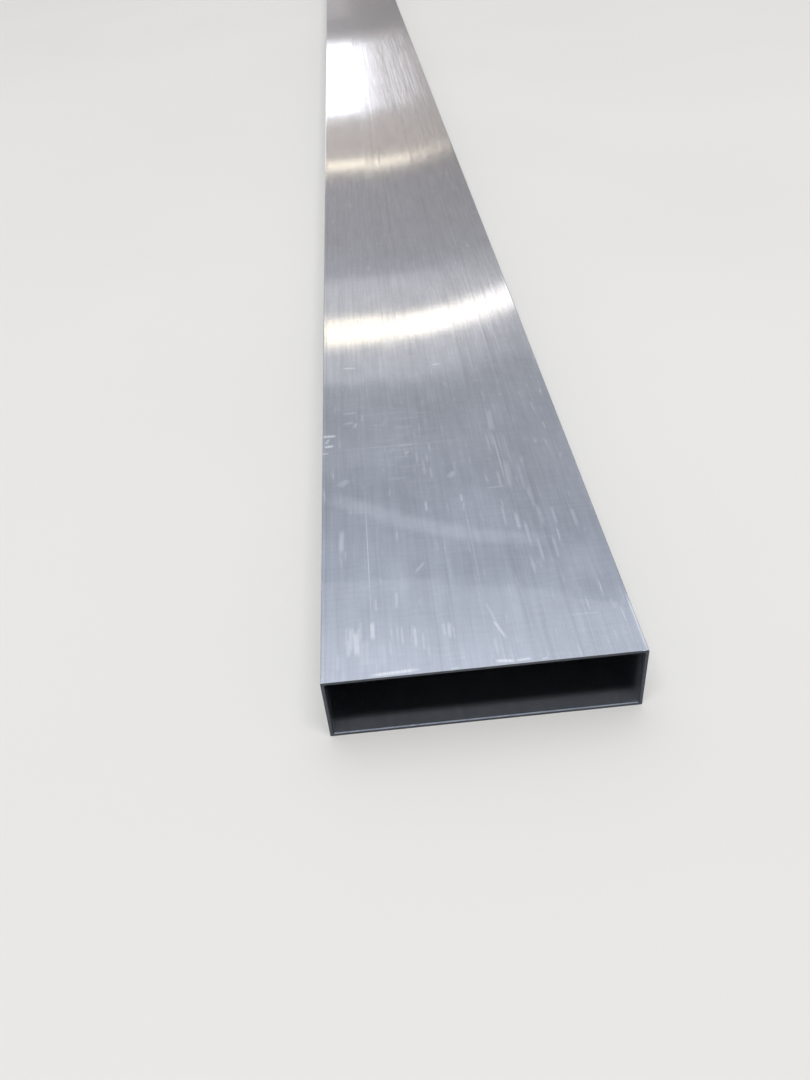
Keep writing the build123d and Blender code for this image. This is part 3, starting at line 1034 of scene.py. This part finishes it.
def light_the_studio():
    """Soft light from all round: a graded wall beyond the far end, which gives the metal its bright and dim
    bands, and a plain pale studio on the other sides."""
    world = bpy.data.worlds.new("studio_light")
    bpy.context.scene.world = world
    world.use_nodes = True
    tree = world.node_tree
    tree.nodes.clear()
    direction = add_node(tree, "ShaderNodeTexCoord").outputs["Generated"]
    side, along, up = add_node(tree, "ShaderNodeSeparateXYZ", [direction]).outputs

    # The wall's brightness by height, and the dimmer part of it
    level = add_node(tree, "ShaderNodeValToRGB", [up])
    level.color_ramp.interpolation = "EASE"
    fill_ramp(level.color_ramp, [
        (math.sin(math.radians(degrees)), [strength * share for share in from_hex(colour)])
        for degrees, strength, colour in WALL_LEVELS])
    to_right = add_node(tree, "ShaderNodeMapRange", [side, *RIGHT_EDGE, 0.0, 1.0],
                        interpolation_type="SMOOTHSTEP")
    lowered = add_node(tree, "ShaderNodeMapRange", [up, *LOW_EDGE, DIM_RIGHT - 1.0, 0.0],
                       interpolation_type="SMOOTHSTEP")
    right_share = add_node(tree, "ShaderNodeMath", [to_right, lowered, 1.0], operation="MULTIPLY_ADD")
    far_wall = add_node(tree, "ShaderNodeVectorMath", {0: level, "Scale": right_share}, operation="SCALE")

    # The plain studio, and which of the two lies in this direction
    plain = add_node(tree, "ShaderNodeMapRange", [up, *OVERHEAD_EDGE, PALE_LOW, PALE_HIGH],
                     interpolation_type="SMOOTHSTEP")
    level_way = add_node(tree, "ShaderNodeCombineXYZ", [side, along])
    bearing = add_node(tree, "ShaderNodeVectorMath", [level_way], operation="NORMALIZE")
    ahead = add_node(tree, "ShaderNodeSeparateXYZ", [bearing]).outputs["Y"]
    far_share = add_node(tree, "ShaderNodeMapRange", [ahead, *WALL_EDGE, 0.0, 1.0],
                         interpolation_type="SMOOTHSTEP")
    shown = add_node(tree, "ShaderNodeMix", {"Factor": far_share, "A": plain, "B": far_wall},
                     data_type="RGBA")
    background = add_node(tree, "ShaderNodeBackground", [shown.outputs["Result"]])
    add_node(tree, "ShaderNodeOutputWorld", [background])


def aim_camera(look):
    """The photograph's viewing angle, fitted to the corners of the sawn end and the long edges."""
    yaw, pitch, roll = (math.radians(angle) for angle in CAMERA_TURN)
    ahead = Vector((math.sin(yaw) * math.cos(pitch), math.cos(yaw) * math.cos(pitch), -math.sin(pitch)))
    level_right = Vector((math.cos(yaw), -math.sin(yaw), 0.0))
    level_up = level_right.cross(ahead)
    right = math.cos(roll) * level_right + math.sin(roll) * level_up
    up = math.cos(roll) * level_up - math.sin(roll) * level_right
    lens = bpy.data.cameras.new("camera")
    lens.lens = look.focal_length
    lens.sensor_width = FILM_SIDE
    camera = bpy.data.objects.new("camera", lens)
    camera.matrix_world = (Matrix.Translation(CAMERA_PLACE)
                           @ Matrix((right, up, -ahead)).transposed().to_4x4())
    bpy.context.collection.objects.link(camera)
    bpy.context.scene.camera = camera


class TUBE_OT_stage(bpy.types.Operator):
    """Lays a pale floor under the tube, and sets up the light and the camera"""
    bl_idname = "tube.stage"
    bl_label = "Set the stage"

    def execute(self, context):
        look = context.scene.studio_look
        half = look.floor_size / 2
        corners = [(-half, -half, 0.0), (half, -half, 0.0), (half, half, 0.0), (-half, half, 0.0)]
        mesh = bpy.data.meshes.new("floor")
        mesh.from_pydata(corners, [], [(0, 1, 2, 3)])
        mesh.materials.append(floor_paint(look))
        floor = bpy.data.objects.new("floor", mesh)
        context.collection.objects.link(floor)

        light_the_studio()
        for *softbox, colour in SOFTBOXES:
            add_softbox(*softbox, from_hex(colour))
        aim_camera(look)
        context.scene.view_settings.view_transform = "Standard"
        return {"FINISHED"}


class TUBE_PT_panel(bpy.types.Panel):
    """Lists the sizes, the finishes and the steps"""
    bl_idname = "TUBE_PT_panel"
    bl_label = "Rectangular tube"
    bl_space_type = "VIEW_3D"
    bl_region_type = "UI"
    bl_category = "Tube"

    def draw(self, context):
        for group, settings in GROUPS.items():
            box = self.layout.box()
            box.label(text=settings[1])
            values = getattr(context.scene, group)
            for name in settings[0].__annotations__:
                box.prop(values, name)
        for operator in (TUBE_OT_make, TUBE_OT_stage):
            self.layout.operator(operator.bl_idname)


GROUPS = {
    "tube_sizes": (TubeSizes, "Sizes"),
    "mill_finish": (MillFinish, "Mill finish"),
    "saw_cut": (SawCut, "Saw cut"),
    "studio_look": (StudioLook, "Studio"),
}
CLASSES = (TubeSizes, MillFinish, SawCut, StudioLook, TUBE_OT_make, TUBE_OT_stage, TUBE_PT_panel)


def register():
    for item in CLASSES:
        bpy.utils.register_class(item)
    for name, (group, _) in GROUPS.items():
        setattr(bpy.types.Scene, name, bpy.props.PointerProperty(type=group))


def unregister():
    for name in GROUPS:
        delattr(bpy.types.Scene, name)
    for item in reversed(CLASSES):
        bpy.utils.unregister_class(item)


def main():
    register()
    bpy.ops.tube.make()
    bpy.ops.tube.stage()


if __name__ == "__main__":
    main()
